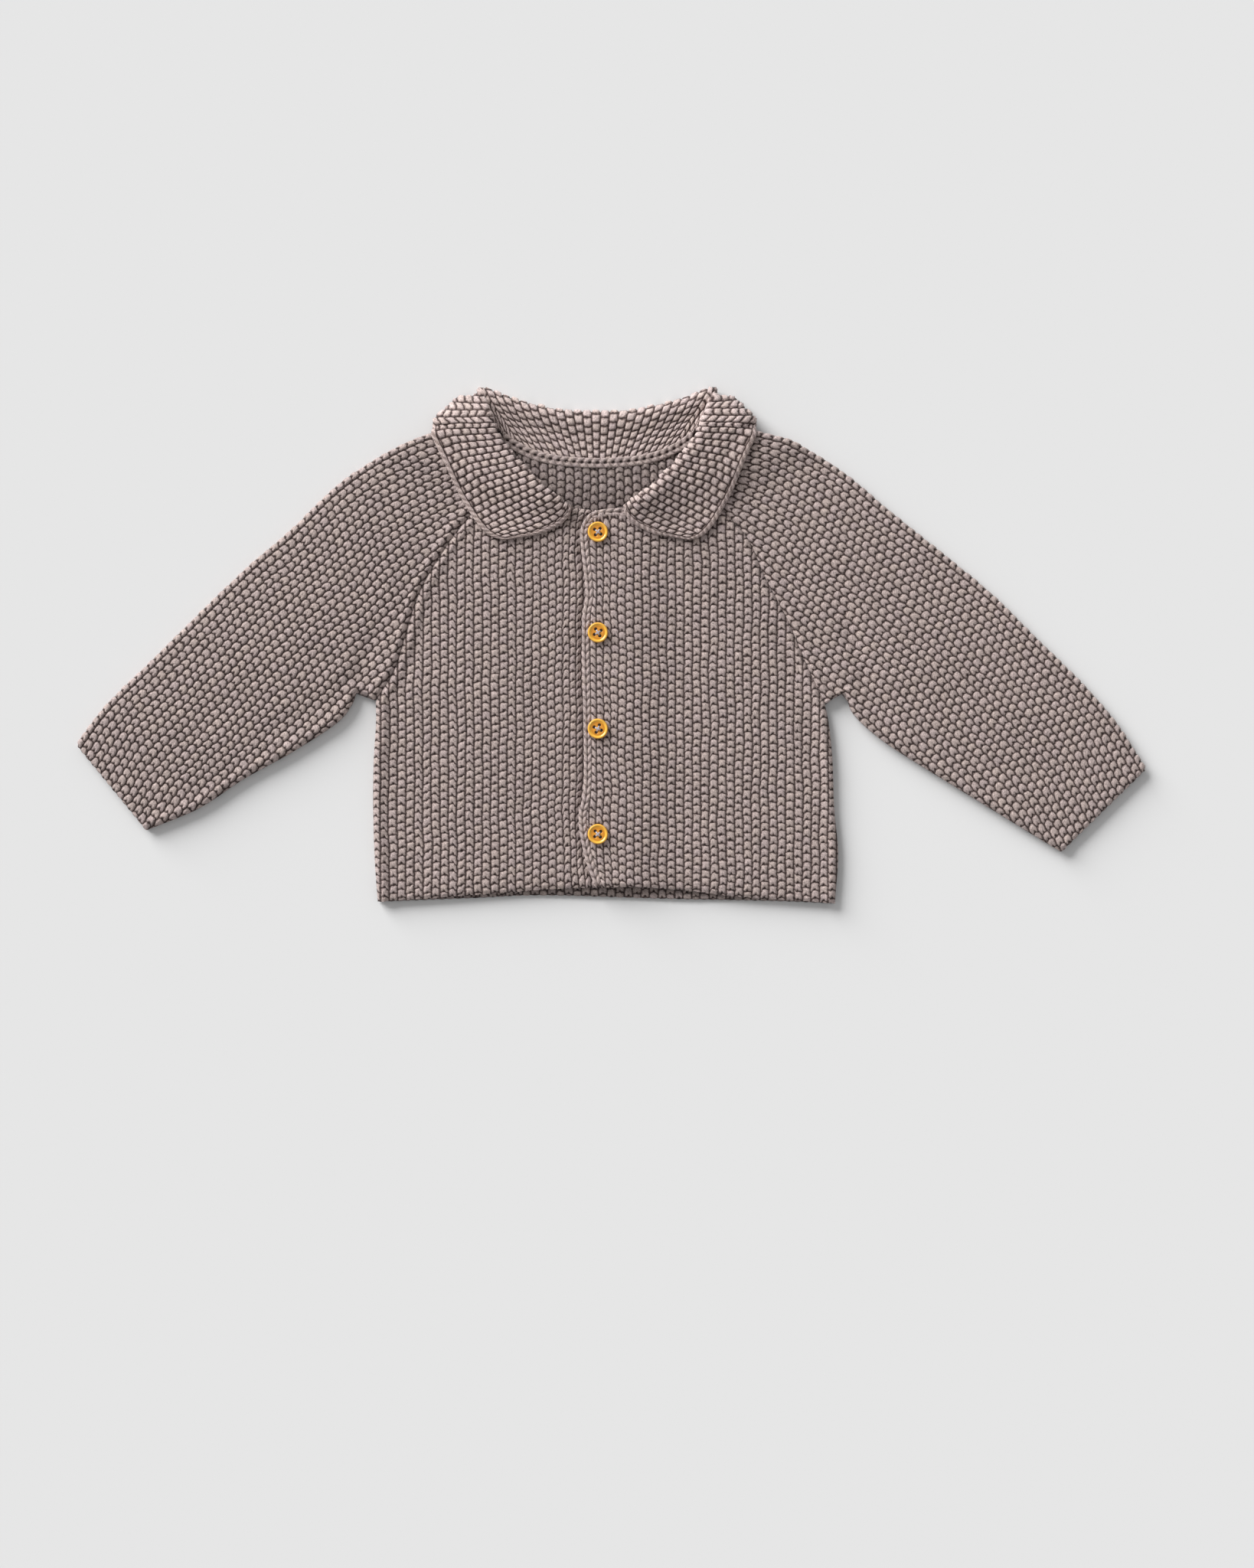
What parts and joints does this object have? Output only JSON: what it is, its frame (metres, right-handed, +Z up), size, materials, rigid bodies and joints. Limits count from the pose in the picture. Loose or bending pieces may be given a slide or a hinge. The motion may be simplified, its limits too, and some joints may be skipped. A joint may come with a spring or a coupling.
{
  "type": "baby cardigan",
  "caption": "Baby cardigan in chunky moss-stitch knit with raglan sleeves, a turned-down collar and a buttoned front, laid flat.",
  "frame": {"origin": "on the table under the middle of the garment's outline", "axes": "+Z up from the table through the layers, +Y from hem to neck, +X towards the wearer's left sleeve"},
  "size_m": [0.5992, 0.2885, 0.0141],
  "materials": {
    "knit": "matte taupe cotton yarn in a chunky moss stitch",
    "chain_edge": "matte taupe yarn worked as a flat chain",
    "button_resin": "satin amber resin with a raised rim"
  },
  "bodies": {
    "root": {"back": "knit", "front_left": "knit", "front_right": "knit", "sleeve_left": "knit", "sleeve_right": "knit", "collar": "knit", "neck_binding": "chain_edge", "front_edging": "chain_edge", "button_1": "button_resin", "button_2": "button_resin", "button_3": "button_resin", "button_4": "button_resin"}
  },
  "joints": []
}
